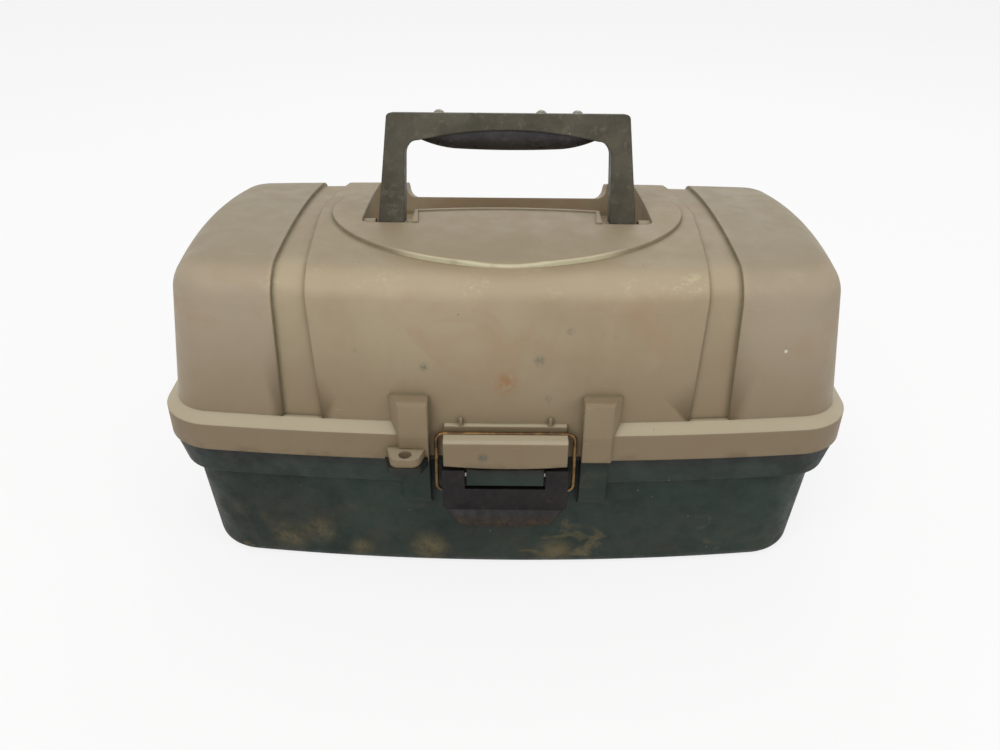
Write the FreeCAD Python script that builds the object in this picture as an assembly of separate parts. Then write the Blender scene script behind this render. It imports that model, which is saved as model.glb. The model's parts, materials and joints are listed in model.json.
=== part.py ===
import FreeCAD, Part
import math
import os

# A moulded plastic fishing tackle box: a green base, a tan domed lid hinged along the back,
# a folding carry handle in the lid, a wire draw latch in front, and three trays on steel arms.
# Millimetres. X runs along the front, left to right; Y from front to back; Z up from the ground.

V = FreeCAD.Vector

# whole box
box_width = 456.0            # across the lid's flange
box_depth = 240.0            # front to back across the lid's flange
base_height = 99.0
part_gap = 0.3               # between faces that rest on each other
wall = 3.0
front_bow = 14.0             # how far the front and back bulge past their corners
end_bow = 6.0
flange_corner = 40.0         # corner radius of the flange, seen from above
overrun = 2.0                # how far a cutting shape runs past a face

# lid walls and roof
flange_face = 18.7           # height of the flange's upright face
ledge_width = 7.5            # sloping step from the flange to the wall
ledge_rise = 5.0
lid_depth = 123.4            # from the lid's rim to the middle of the roof
lid_end_draft = math.radians(6.5)
lid_front_draft = math.radians(6.0)
lid_corner = 32.0
lid_corner_top = 30.0
crown_radius = 590.0         # the roof is a shallow arch from front to back
shoulder_radius = 26.0
crown_stock = 17.0           # height above the roof that the lid is shaped from

# recessed bands over the lid
band_depth = 2.6
band_outer_x = 140.5
band_inner_low_x = 115.5
band_inner_shoulder_x = 120.0
band_inner_roof_x = 126.5
band_shoulder_drop = 17.5    # below the roof's middle, where a band turns over the shoulder
band_shoulder_y = 88.0

# raised oval on the roof, its handle pocket and finger notch
oval_half_x = 118.0
oval_half_y = 86.0
oval_rise = 2.2
oval_foot = 20.0             # how deep below the roof the oval's stock starts
oval_wall = 4.0
pocket_half_x = 95.0
pocket_front_y = -30.0
pocket_back_y = 68.0
pocket_depth = 25.7          # from the roof's middle to the pocket's floor
pocket_corner = 5.0
tongue_half_x = 62.0         # the pad that juts into the pocket between the handle's legs
tongue_back_y = -8.0
tongue_bulge = 5.0
bead_width = 2.2
bead_rise = 0.9
notch_half_x = 76.0
notch_depth = 12.7           # from the roof's middle to the notch's floor
notch_corner = 7.0
notch_back_y = 118.0
notch_slope = 18.0           # degrees that its floor falls towards the back
scoop_half_x = 42.0          # shallow hollow on the shoulder, below the oval's front edge
scoop_depth = 1.2
scoop_tilt = math.radians(33.0)
shoulder_steps = 12

# blocks beside the latch, and the padlock ears
bay_half_x = 48.0
block_outer_x = 66.0
block_foot_x = 72.0
block_proud = 1.2            # in front of the flange
block_height = 43.7          # above the lid's rim
block_bevel = 3.0
ear_x = -62.0
ear_half_root = 12.4
ear_half_tip = 8.0
ear_reach = 12.2             # in front of the blocks
ear_round = 5.0
ear_thickness = 5.6
ear_rise = 3.9               # from the lid's rim to the lid ear's underside
ear_hole_r = 3.95
ear_hole_reach = 6.0
ear_tenon_half = 7.0         # the ears are moulded apart and pressed into the walls
ear_tenon_depth = 5.0
base_ear_grow = 1.0
base_ear_height = 5.5
base_tenon_height = 9.0
base_block_drop = 20.0       # below the rim
base_block_slope = 9.0
base_block_outer_x = 65.5
base_block_reach = 8.0       # in front of the base's wall, under the rim

# base
rim_height = 21.0
rim_inset_top = 1.0          # from the flange's outline to the rim's top edge
rim_inset_low = 5.5
base_end_inset = 9.0         # from the flange's outline to the wall under the rim
base_wall_inset = 10.5
base_end_draft = math.radians(4.8)
base_front_draft = math.radians(2.0)
base_corner = 40.5
base_corner_low = 38.0
base_foot_radius = 8.0
lip_height = 5.8             # of the lip that stands up inside the lid
lip_thickness = 2.5
lip_clearance = 0.6
lip_root = 7.0
lip_gap_x = 84.0             # the lip stops here, either side of the latch
bay_shelf = 6.0
bay_shelf_thickness = 3.0

# back hinges
hinge_behind = 4.0           # axis behind the flange
hinge_x = 110.0
knuckle_r = 4.5
knuckle_length = 12.0
lid_knuckle_length = 22.0
knuckle_gap = 0.4
hinge_pin_r = 2.0
pin_clearance = 0.05
web_thickness = 4.0
web_root = 8.5

# keeper on the lid, lever and wire bail
keeper_half_x = 38.4
keeper_front = 9.0           # in front of the flange
keeper_height = 20.7
keeper_drop = 0.5            # its lower edge above the lid's rim
keeper_plate = 3.5
keeper_bevel = 1.8
keeper_sag = 1.8             # how far its lower edge hangs at the middle
groove_floor = 17.3          # above the lid's rim
groove_front = 1.0           # in front of the flange
groove_back = 5.2            # behind the flange
shelf_top = 23.7
rib_x = 28.0
rib_width = 2.2
rib_rise = 4.0
pivot_front = 0.8            # the lever's axis, in front of the flange
pivot_z = 90.0
latch_pin_r = 2.0
boss_half_x = 24.5
boss_front = 5.2             # in front of the lever's axis
boss_drop = 6.4
boss_rise = 6.2
lever_half_x = 40.0
lever_plate = 4.0
lever_front = 3.8            # its face, in front of its axis
lever_rise = 5.0
lever_drop = 35.0
lever_lip = 6.4
lever_lip_height = 9.0
lever_lip_edge = 2.4
lever_tip_half_x = 30.0
lever_side_drop = 24.0
cheek_inner_x = 26.0
cheek_depth = 8.0
cheek_drop = 16.0
window_half_x = 25.6
window_drop = 9.6
wire_r = 1.25
bail_half_x = 43.5
bail_bend = 4.5
bail_foot_x = 35.0
bail_hole_clearance = 0.1
bail_pivot_drop = 13.5       # below the lever's axis
bail_pivot_back = 1.0
bail_bar_back = 2.9          # the bar at rest, behind the flange

# handle
handle_y = -20.0
handle_drop = 5.7            # its axis below the roof's middle
handle_lean = 10.0           # degrees back from upright, as it stands
handle_half_foot = 85.5
handle_half_top = 77.0
handle_top = 73.0
handle_inner_top = 66.0
handle_depth = 14.0
leg_width = 17.7
bar_centre = 10.0
bar_end = 16.5
inner_corner = 9.0
outer_corner = 3.0
grip_half_x = 57.0
grip_flat_x = 34.0
grip_r = 11.0
grip_flat_r = 10.2
grip_end_r = 4.5
grip_back = 5.0              # its axis behind the handle's middle plane
grip_drop = 12.0             # its axis below the handle's top
screw_places = (-44.0, -21.0, 21.0, 44.0)
sunk_screw = -21.0
screw_r = 1.6
screw_clearance = 0.05
screw_length = 17.0
screw_head_r = 3.6
screw_head = 2.2
screw_sink = 2.0
handle_pin_r = 2.5
handle_pin_head_r = 4.5
handle_pin_head = 1.3
handle_boss_r = 6.0
handle_boss_gap = 1.2

# trays and their arms
tray_half_x = 190.0
tray_front_y = -86.0
tray_back_y = 46.0
tray_wall = 1.8
tray_height = 32.0
tray_pitch = 34.0
tray_low_z = 84.0
tray_corner = 10.0
tray_row_y = -22.0
divider_thickness = 1.5
divider_gap = 0.35
divider_drop = 2.0
divider_x_share = 0.5
ear_plate = 2.5
ear_margin = 7.0
arm_width = 10.0
arm_thickness = 2.0
arm_offset = 1.5             # from a tray's ear plate to the arm
arm_pivot_z = 88.0
rear_arm_y = 58.0
front_arm_y = 14.0
arm_rest_angle = math.radians(38.0)
arm_reaches = (28.0, 72.0, 115.0)
rivet_r = 2.0
rivet_head_r = 3.5
rivet_head = 0.9
rivet_play = 0.1
post_half_y = 7.0
post_gap = 0.7
post_top_gap = 1.5
post_height = 40.0
post_slope = 18.0
lid_boss_r = 7.0

# derived places
half_x = box_width / 2
half_y = box_depth / 2
rim_z = base_height + part_gap
flange_top = rim_z + flange_face
ledge_z = flange_top + ledge_rise
roof_z = rim_z + lid_depth
stock_z = roof_z + crown_stock
hinge_y = half_y + hinge_behind
pivot_y = -half_y - pivot_front
handle_z = roof_z - handle_drop
tray_x = tray_half_x + ear_plate
rivet_seat = tray_x - ear_plate / 2
arm_x = tray_x + arm_offset
arm_outer_x = arm_x + arm_thickness
post_x = arm_outer_x + post_gap
tray_bottoms = tuple(tray_low_z + i * tray_pitch for i in range(len(arm_reaches)))
lid_pivot = (hinge_y - arm_reaches[-1] * math.cos(arm_rest_angle),
             rim_z + arm_reaches[-1] * math.sin(arm_rest_angle))


def face_from(points, place):
    # points are (a, b); a pair of points is an arc through the first to the second
    edges = []
    start = points[0]
    last = start
    for item in list(points[1:]) + [start]:
        if isinstance(item[0], tuple):
            middle, end = item
            edges.append(Part.Arc(place(*last), place(*middle), place(*end)).toShape())
        else:
            end = item
            if math.dist(last, end) > 0:
                edges.append(Part.LineSegment(place(*last), place(*end)).toShape())
        last = end
    return Part.Face(Part.Wire(edges))


def prism_x(points, low, high):
    return face_from(points, lambda y, z: V(low, y, z)).extrude(V(high - low, 0, 0))


def prism_y(points, low, high):
    return face_from(points, lambda x, z: V(x, low, z)).extrude(V(0, high - low, 0))


def prism_z(points, low, high):
    return face_from(points, lambda x, y: V(x, y, low)).extrude(V(0, 0, high - low))


def block(x, y, z):
    return Part.makeBox(x[1] - x[0], y[1] - y[0], z[1] - z[0], V(x[0], y[0], z[0]))


def rod_x(radius, low, high, y, z):
    return Part.makeCylinder(radius, high - low, V(low, y, z), V(1, 0, 0))


def rod_z(radius, low, high, x, y):
    return Part.makeCylinder(radius, high - low, V(x, y, low), V(0, 0, 1))


def mirrored(shape):
    return shape.mirror(V(0, 0, 0), V(1, 0, 0))


def both_sides(shape):
    return shape.fuse(mirrored(shape))


def save(name, *solids):
    shape = solids[0] if len(solids) == 1 else Part.Compound(list(solids))
    shape.exportStep(os.path.join("parts", name + ".step"))


def one_solid(shape):
    clean = shape.removeSplitter()
    if not clean.isValid():
        clean = shape
    return max(clean.Solids, key=lambda s: s.Volume)


def bowed_side(half_length, sagitta):
    return (half_length ** 2 + sagitta ** 2) / (2 * sagitta)


def outline(hx, hy, corner, z):
    # a rectangle whose four sides are shallow arcs, joined by tangent corner arcs
    front_r = bowed_side(hx - end_bow, front_bow)
    end_r = bowed_side(hy - front_bow, end_bow)
    front_centre = (0, front_r - hy)
    end_centre = (hx - end_r, 0)
    to_front, to_end = front_r - corner, end_r - corner
    dx, dy = end_centre[0] - front_centre[0], end_centre[1] - front_centre[1]
    gap = math.hypot(dx, dy)
    along = (to_front ** 2 - to_end ** 2 + gap ** 2) / (2 * gap)
    aside = math.sqrt(to_front ** 2 - along ** 2)
    foot = (front_centre[0] + along * dx / gap, front_centre[1] + along * dy / gap)
    centre = max(((foot[0] + s * aside * dy / gap, foot[1] - s * aside * dx / gap)
                  for s in (-1, 1)), key=lambda c: c[0] - c[1])

    def out(origin, radius):
        ux, uy = centre[0] - origin[0], centre[1] - origin[1]
        length = math.hypot(ux, uy)
        return (origin[0] + radius * ux / length, origin[1] + radius * uy / length)

    t1, t2 = out(front_centre, front_r), out(end_centre, end_r)
    mx, my = (t1[0] + t2[0]) / 2 - centre[0], (t1[1] + t2[1]) / 2 - centre[1]
    scale = corner / math.hypot(mx, my)
    tm = (centre[0] + mx * scale, centre[1] + my * scale)
    loop = [(-t1[0], t1[1]), (0, -hy), t1, tm, t2, (hx, 0), (t2[0], -t2[1]), (tm[0], -tm[1]),
            (t1[0], -t1[1]), (0, hy), (-t1[0], -t1[1]), (-tm[0], -tm[1]), (-t2[0], -t2[1]),
            (-hx, 0), (-t2[0], t2[1]), (-tm[0], tm[1])]
    loop.append(loop[0])
    spots = [V(x, y, z) for x, y in loop]
    return Part.Wire([Part.Arc(*spots[i:i + 3]).toShape() for i in range(0, len(loop) - 1, 2)])


def between(low_wire, high_wire):
    return Part.makeLoft([low_wire, high_wire], True, True)


def inset_outline(inset, z):
    return outline(half_x - inset, half_y - inset, flange_corner - inset, z)


def lid_outline(inset, z, corner):
    x = half_x - ledge_width - (z - ledge_z) * math.tan(lid_end_draft)
    y = half_y - ledge_width - (z - ledge_z) * math.tan(lid_front_draft)
    return outline(x - inset, y - inset, corner - inset, z)


def crown(inset):
    radius = crown_radius - inset
    arch = Part.makeCylinder(radius, box_width, V(0, 0, 0), V(1, 0, 0))
    arch.rotate(V(0, 0, 0), V(1, 0, 0), 90)
    arch.translate(V(-half_x, 0, roof_z - crown_radius))
    return arch


def lid_form(inset, low):
    # the domed outside of the lid, or the same shape set in evenly
    body = between(lid_outline(inset, low, lid_corner), lid_outline(inset, stock_z, lid_corner_top))
    body = body.common(crown(inset))
    top = [e for e in body.Edges if e.BoundBox.ZMin > handle_z - shoulder_radius
           and e.BoundBox.ZMax < stock_z and e.BoundBox.ZMin > ledge_z]
    return body.makeFillet(shoulder_radius - inset, top)


def flange_form(inset, low, high):
    drop = ledge_rise * inset / ledge_width
    into = overrun * ledge_rise / ledge_width
    upright = between(inset_outline(inset, low), inset_outline(inset, high - drop))
    slope = between(inset_outline(inset, high - drop),
                    inset_outline(inset + ledge_width + overrun, high + ledge_rise - drop + into))
    return upright.fuse(slope)


def band(margin):
    turn = roof_z - band_shoulder_drop
    outer = band_outer_x + margin
    low_x, shoulder_x, roof_x = (x - margin for x in (
        band_inner_low_x, band_inner_shoulder_x, band_inner_roof_x))
    walls = prism_y([(low_x, ledge_z), (outer, ledge_z), (outer, turn), (shoulder_x, turn)],
                    -half_y, half_y)
    roof = prism_z([(shoulder_x, -half_y), (shoulder_x, -band_shoulder_y), (roof_x, 0),
                    (shoulder_x, band_shoulder_y), (shoulder_x, half_y), (outer, half_y),
                    (outer, -half_y)], turn, stock_z)
    return both_sides(walls.fuse(roof))


def oval(inset, low, high):
    disc = Part.Face(Part.Wire(Part.Ellipse(V(0, 0, low), oval_half_x - inset,
                                            oval_half_y - inset).toShape()))
    return disc.extrude(V(0, 0, high - low))


def tongue(grow, front, low, high):
    half, back = tongue_half_x + grow, tongue_back_y + grow
    return prism_z([(-half - grow, front), (half + grow, front), (half, back),
                    ((0, back + tongue_bulge), (-half, back))], low, high)


def pocket(grow, low, high):
    well = block((-pocket_half_x - grow, pocket_half_x + grow),
                 (pocket_front_y - grow, pocket_back_y + grow), (low, high))
    corners = [e for e in well.Edges if abs(e.Vertexes[0].Z - e.Vertexes[-1].Z) > wall]
    return well.makeFillet(pocket_corner + grow, corners)


def notch(grow, front):
    half, low, high = notch_half_x + grow, roof_z - notch_depth - grow, stock_z
    r = notch_corner + grow
    bend = r * (1 - math.cos(math.radians(45)))
    cut = prism_y([(-half, high), (-half, low + r), ((-half + bend, low + bend), (-half + r, low)),
                   (half - r, low), ((half - bend, low + bend), (half, low + r)), (half, high)],
                  front, notch_back_y)
    cut.rotate(V(0, pocket_back_y, roof_z - notch_depth), V(1, 0, 0), -notch_slope)
    return cut


def shoulder_middle():
    # centre of the front shoulder's rounding, found by stepping between the wall and the roof
    y, z = -half_y, roof_z
    for _ in range(shoulder_steps):
        z = roof_z - crown_radius + math.sqrt((crown_radius - shoulder_radius) ** 2 - y ** 2)
        face = half_y - ledge_width - (z - ledge_z) * math.tan(lid_front_draft)
        y = shoulder_radius / math.cos(lid_front_draft) - face
    return y, z


def scoop():
    # a wide shallow lens, cut by a large ball that dips into the shoulder
    radius = (scoop_half_x ** 2 + scoop_depth ** 2) / (2 * scoop_depth)
    y, z = shoulder_middle()
    reach = shoulder_radius + radius - scoop_depth
    return Part.makeSphere(radius, V(0, y - reach * math.sin(scoop_tilt), z + reach * math.cos(scoop_tilt)))


def ear_plan(grow, back, front):
    root, tip, r = ear_half_root + grow, ear_half_tip + grow, ear_round
    return [(ear_x - root, back), (ear_x + root, back), (ear_x + root, back - grow),
            (ear_x + tip + r / 3, front + r), ((ear_x + tip, front + r / 3), (ear_x + tip - r, front)),
            (ear_x - tip + r, front), ((ear_x - tip, front + r / 3), (ear_x - tip - r / 3, front + r)),
            (ear_x - root, back - grow)]


def ear_tenon(proud, low, height):
    face = -half_y - proud
    return block((ear_x - ear_tenon_half, ear_x + ear_tenon_half), (face, face + ear_tenon_depth),
                 (low, low + height))


def drill_ear(ear):
    return ear.cut(rod_z(ear_hole_r, 0, roof_z, ear_x, -half_y - block_proud - ear_hole_reach))


def lid_ear(shell):
    face, low = -half_y - block_proud, rim_z + ear_rise
    ear = prism_z(ear_plan(0, face + wall, face - ear_reach), low, low + ear_thickness)
    ear = ear.fuse(ear_tenon(block_proud, low, ear_thickness))
    return one_solid(drill_ear(ear.cut(shell)))


def lid_blocks(inner):
    face = -half_y - block_proud
    top = rim_z + block_height
    plan = prism_z([(bay_half_x, -half_y / 2), (bay_half_x, face), (block_outer_x, face),
                    (block_foot_x, face + ledge_width + block_bevel), (block_foot_x, -half_y / 2)],
                   rim_z, top)
    side = prism_x([(-half_y / 2, rim_z), (face, rim_z), (face, top - block_bevel),
                    (face + block_bevel, top - block_bevel / 2), (-half_y / 2, top)],
                   bay_half_x, block_foot_x)
    return both_sides(plan.common(side)).cut(inner)


def keeper():
    front = -half_y - keeper_front
    top, low = rim_z + keeper_height, rim_z + keeper_drop
    floor, shelf = rim_z + groove_floor, rim_z + shelf_top
    root = -half_y + ledge_width + wall / 2
    side = prism_x([(root, shelf), (-half_y + groove_back, shelf - rib_width / 2),
                    (-half_y + groove_back, floor), (-half_y - groove_front, floor),
                    (-half_y - groove_front, top), (front + keeper_bevel, top),
                    (front, top - keeper_bevel), (front, rim_z), (front + keeper_plate, rim_z),
                    (front + keeper_plate, floor - keeper_plate), (root, floor - keeper_plate)],
                   -keeper_half_x, keeper_half_x)
    face = prism_y([(-keeper_half_x, low + keeper_sag), ((0, low), (keeper_half_x, low + keeper_sag)),
                    (keeper_half_x, shelf + overrun), (-keeper_half_x, shelf + overrun)],
                   front - overrun, 0)
    return side.common(face)


def keeper_ribs():
    low = rim_z + shelf_top - rib_width
    return both_sides(block((rib_x - rib_width / 2, rib_x + rib_width / 2),
                            (-half_y + groove_back + part_gap, -half_y + ledge_width + wall),
                            (low, low + rib_width + rib_rise)))


def knuckles(length, clear):
    # one barrel on each hinge, with its bore left for later
    return both_sides(rod_x(knuckle_r, hinge_x - length / 2 + clear, hinge_x + length / 2 - clear,
                            hinge_y, rim_z))


def hinge_bore():
    far = lid_knuckle_length + knuckle_length
    return both_sides(rod_x(hinge_pin_r + pin_clearance, hinge_x - far, hinge_x + far, hinge_y, rim_z))


def build_lid():
    outer = lid_form(0, rim_z)
    inner = lid_form(wall, rim_z - overrun)
    flange_inner = flange_form(wall, rim_z - overrun, flange_top)
    shell = outer.fuse(flange_form(0, rim_z, flange_top)).cut(inner).cut(flange_inner)

    groove_skin = lid_form(band_depth, rim_z - overrun)
    groove_back_skin = lid_form(band_depth + wall, rim_z - overrun)
    shell = shell.fuse(groove_skin.cut(groove_back_skin).common(band(wall)))
    shell = shell.cut(outer.cut(groove_skin).common(band(0)))

    # oval, pocket with its walls, and the notch behind
    foot = roof_z - oval_foot
    skin = crown(-oval_rise)
    shell = shell.fuse(oval(0, foot, stock_z).common(skin).cut(inner))
    shell = shell.cut(oval(oval_wall, foot - overrun, stock_z).common(crown(wall - oval_rise))
                      .common(block((-half_x, half_x), (-half_y + shoulder_radius * 2,
                                                        half_y - shoulder_radius * 2),
                                    (foot - overrun, stock_z))))
    floor = roof_z - pocket_depth
    bead = tongue(0, pocket_front_y, roof_z - wall, stock_z)
    bead = bead.cut(tongue(-bead_width, pocket_front_y - overrun, roof_z - wall - overrun,
                           stock_z + overrun))
    bead = bead.common(crown(-oval_rise - bead_rise))
    well = pocket(wall, floor - wall, stock_z).common(skin)
    well = well.cut(tongue(-wall, pocket_front_y + wall, floor - wall - overrun, roof_z - wall))
    back = notch(wall, pocket_back_y - overrun).common(outer)
    shell = shell.fuse(well).fuse(back).fuse(bead)
    hollow = pocket(0, floor, stock_z + overrun)
    hollow = hollow.cut(tongue(0, pocket_front_y - overrun, floor - overrun, stock_z + 2 * overrun))
    shell = shell.cut(hollow).cut(notch(0, pocket_back_y - 2 * wall))
    shell = shell.cut(scoop())

    # latch bay, blocks, keeper and ear
    tall = ledge_z + ledge_rise
    bay = block((-bay_half_x, bay_half_x), (-half_y - ear_reach, -half_y / 2), (rim_z - overrun, tall))
    bay_wall = outer.cut(inner).common(block((-bay_half_x - wall, bay_half_x + wall),
                                             (-half_y, -half_y / 2), (rim_z, tall + wall)))
    shell = shell.cut(bay).fuse(bay_wall).fuse(lid_blocks(inner))
    shell = shell.fuse(keeper()).fuse(keeper_ribs().cut(inner))
    shell = shell.cut(ear_tenon(block_proud, rim_z + ear_rise, ear_thickness))

    # hinge barrels, handle bosses and the bosses that drive the top tray
    webs = both_sides(block((hinge_x - lid_knuckle_length / 2 + knuckle_gap,
                             hinge_x + lid_knuckle_length / 2 - knuckle_gap),
                            (hinge_y - web_root, hinge_y), (rim_z + part_gap, rim_z + web_thickness)))
    shell = shell.fuse(webs.cut(flange_inner)).fuse(knuckles(lid_knuckle_length, knuckle_gap))
    shell = shell.cut(hinge_bore())
    bosses = both_sides(rod_x(handle_boss_r, handle_half_foot + handle_boss_gap,
                              pocket_half_x + wall / 2, handle_y, handle_z))
    bores = both_sides(rod_x(handle_pin_r + pin_clearance, handle_half_foot,
                             pocket_half_x + wall + overrun, handle_y, handle_z))
    shell = shell.fuse(bosses).cut(bores)
    lid_bosses = both_sides(rod_x(lid_boss_r, post_x + rivet_head, half_x, *lid_pivot))
    shell = shell.fuse(lid_bosses.common(lid_form(wall / 2, rim_z)))
    shell = shell.cut(both_sides(rod_x(rivet_r, post_x, post_x + arm_width, *lid_pivot)))
    return one_solid(shell)


def base_outline(inset, z):
    under = base_height - rim_height - z
    shrink_x = base_end_inset + under * math.tan(base_end_draft) + inset
    shrink_y = base_wall_inset + under * math.tan(base_front_draft) + inset
    share = z / base_height
    corner = base_corner_low + (base_corner - base_corner_low) * share
    return outline(half_x - shrink_x, half_y - shrink_y, corner - inset, z)


def base_form(inset, low, high):
    body = between(base_outline(inset, low), base_outline(inset, high))
    foot = [e for e in body.Edges if e.BoundBox.ZMax < low + wall / 2]
    return body.makeFillet(base_foot_radius - inset, foot)


def rim_form(inset, low, high):
    span = rim_inset_low - rim_inset_top
    low_inset = rim_inset_low - span * (low - base_height + rim_height) / rim_height + inset
    high_inset = rim_inset_low - span * (high - base_height + rim_height) / rim_height + inset
    return between(inset_outline(low_inset, low), inset_outline(high_inset, high))


def base_blocks(inner):
    wall_y = -half_y + base_wall_inset
    face = wall_y - base_block_reach
    under = base_height - rim_height
    side = prism_x([(-half_y / 2, base_height), (face, base_height),
                    (face, under - base_block_drop + base_block_slope), (wall_y, under - base_block_drop),
                    (-half_y / 2, under - base_block_drop)], bay_half_x, base_block_outer_x)
    return both_sides(side).cut(inner)


def base_tenon():
    low = base_height - base_tenon_height
    return ear_tenon(base_block_reach - base_wall_inset, low, base_tenon_height)


def base_ear(shell):
    face = -half_y - block_proud - part_gap
    front = -half_y - block_proud - ear_reach - base_ear_grow
    top = rim_z + ear_rise - part_gap
    low = top - base_ear_height
    ear = prism_z(ear_plan(base_ear_grow, face, front), low, top)
    back = -half_y + base_wall_inset - base_block_reach
    gusset = prism_x([(back, base_height), (face, base_height), (face, low),
                      (back, base_height - base_tenon_height)],
                     ear_x - ear_tenon_half, ear_x + ear_tenon_half)
    root = prism_z(ear_plan(base_ear_grow, back, front), low, base_height)
    return one_solid(drill_ear(ear.fuse(root).fuse(gusset).fuse(base_tenon()).cut(shell)))


def arm_posts(inner):
    posts = []
    for y in (rear_arm_y, front_arm_y):
        top = base_height - post_top_gap
        posts.append(prism_y([(post_x, top), (half_x, top), (half_x, top - post_height),
                              (post_x, top - post_height + post_slope)],
                             y - post_half_y, y + post_half_y))
    return both_sides(posts[0].fuse(posts[1])).common(inner)


def build_base():
    rim_low = base_height - rim_height
    body = base_form(0, 0, base_height)
    inner = base_form(wall, wall, base_height + overrun)
    rim_inner = rim_form(wall, rim_low + wall, base_height + overrun)
    skirt = between(base_outline(wall + part_gap, rim_low - wall),
                    inset_outline(rim_inset_low + wall + part_gap, rim_low + 2 * wall))
    cavity = inner.fuse(rim_inner).fuse(skirt)
    shell = body.fuse(rim_form(0, rim_low, base_height)).cut(cavity)

    lip_out = wall + lip_clearance
    lip = between(inset_outline(lip_out, base_height - lip_root),
                  inset_outline(lip_out, base_height + lip_height))
    lip = lip.cut(between(inset_outline(lip_out + lip_thickness, base_height - lip_root - overrun),
                          inset_outline(lip_out + lip_thickness, base_height + lip_height + overrun)))
    lip = lip.common(rim_form(0, rim_low, base_height).fuse(
        block((-half_x, half_x), (-half_y, half_y), (base_height, base_height + lip_height))))
    lip = lip.cut(block((-lip_gap_x, lip_gap_x), (-half_y, 0),
                        (base_height - lip_root - overrun, base_height + lip_height + overrun)))
    shell = shell.fuse(lip)

    bay = block((-bay_half_x, bay_half_x), (-half_y, -half_y / 2), (rim_low - overrun, base_height + overrun))
    wide = block((-bay_half_x - wall, bay_half_x + wall), (-half_y, -half_y / 2),
                 (rim_low - overrun - wall, base_height))
    shell = shell.cut(bay).fuse(body.cut(inner).common(wide))
    shelf_y = -half_y + bay_shelf
    shell = shell.fuse(block((-bay_half_x - wall / 2, bay_half_x + wall / 2),
                             (shelf_y, -half_y + base_wall_inset),
                             (base_height - bay_shelf_thickness, base_height)).cut(inner))
    shell = shell.fuse(base_blocks(inner)).cut(base_tenon())

    # boss that carries the lever's pin
    boss = block((-boss_half_x, boss_half_x), (pivot_y - boss_front, -half_y + base_wall_inset + wall / 2),
                 (pivot_z - boss_drop, pivot_z + boss_rise))
    edges = [e for e in boss.Edges if e.BoundBox.YMax < pivot_y]
    boss = boss.makeFillet(wall / 2, edges)
    shell = shell.fuse(boss.cut(inner))
    shell = shell.cut(rod_x(latch_pin_r, -boss_half_x - overrun, boss_half_x + overrun, pivot_y, pivot_z))

    # hinge barrels and the posts that carry the arms
    for side in (-1, 1):
        middle = hinge_x + side * (lid_knuckle_length + knuckle_length) / 2
        ends = (middle - knuckle_length / 2, middle + knuckle_length / 2)
        barrel = rod_x(knuckle_r, ends[0], ends[1], hinge_y, rim_z)
        web = block(ends, (hinge_y - 2 * web_root, hinge_y), (base_height - web_thickness, base_height))
        shell = shell.fuse(both_sides(barrel.fuse(web.cut(rim_inner).cut(inner))))
    shell = shell.cut(hinge_bore()).fuse(arm_posts(base_form(wall / 2, wall / 2, base_height)))
    for y in (rear_arm_y, front_arm_y):
        shell = shell.cut(both_sides(rod_x(rivet_r, post_x - overrun, post_x + arm_width, y, arm_pivot_z)))
    return one_solid(shell)


def hinge_pin():
    reach = lid_knuckle_length / 2 + knuckle_length
    return rod_x(hinge_pin_r, hinge_x - reach, hinge_x + reach, hinge_y, rim_z)


def latch_pin():
    return rod_x(latch_pin_r, -lever_half_x + part_gap, lever_half_x - part_gap, pivot_y, pivot_z)


def latch_lever():
    face = pivot_y - lever_front
    back = face + lever_plate
    top, low = pivot_z + lever_rise, pivot_z - lever_drop
    bend = low + lever_lip_height
    tip = face - lever_lip
    plate = prism_x([(face, top), (face, bend), (tip, low + lever_lip_edge), (tip, low),
                     (tip + lever_lip_edge, low), (back, bend - lever_lip_edge), (back, top)],
                    -lever_half_x, lever_half_x)
    side_low = pivot_z - lever_side_drop
    shape = prism_y([(-lever_half_x, top), (-lever_half_x, side_low),
                     (-lever_tip_half_x, low + lever_lip_edge),
                     ((0, low), (lever_tip_half_x, low + lever_lip_edge)),
                     (lever_half_x, side_low), (lever_half_x, top)],
                    tip - overrun, pivot_y + cheek_depth)
    cheek_low = pivot_z - cheek_drop
    cheek = prism_x([(face + lever_plate / 2, top), (face + cheek_depth, top),
                     (face + cheek_depth, cheek_low), (back, cheek_low - lever_plate),
                     (face + lever_plate / 2, cheek_low - lever_plate)],
                    cheek_inner_x, lever_half_x)
    lever = plate.common(shape).fuse(both_sides(cheek))
    lever = lever.cut(block((-window_half_x, window_half_x), (tip - overrun, pivot_y + cheek_depth),
                            (pivot_z - window_drop, top + overrun)))
    lever = lever.cut(rod_x(latch_pin_r + pin_clearance, -lever_half_x - overrun,
                            lever_half_x + overrun, pivot_y, pivot_z))
    foot = both_sides(rod_x(wire_r + bail_hole_clearance, bail_foot_x - wire_r,
                            lever_half_x + overrun, pivot_y + bail_pivot_back,
                            pivot_z - bail_pivot_drop))
    return one_solid(lever.cut(foot))


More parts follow.
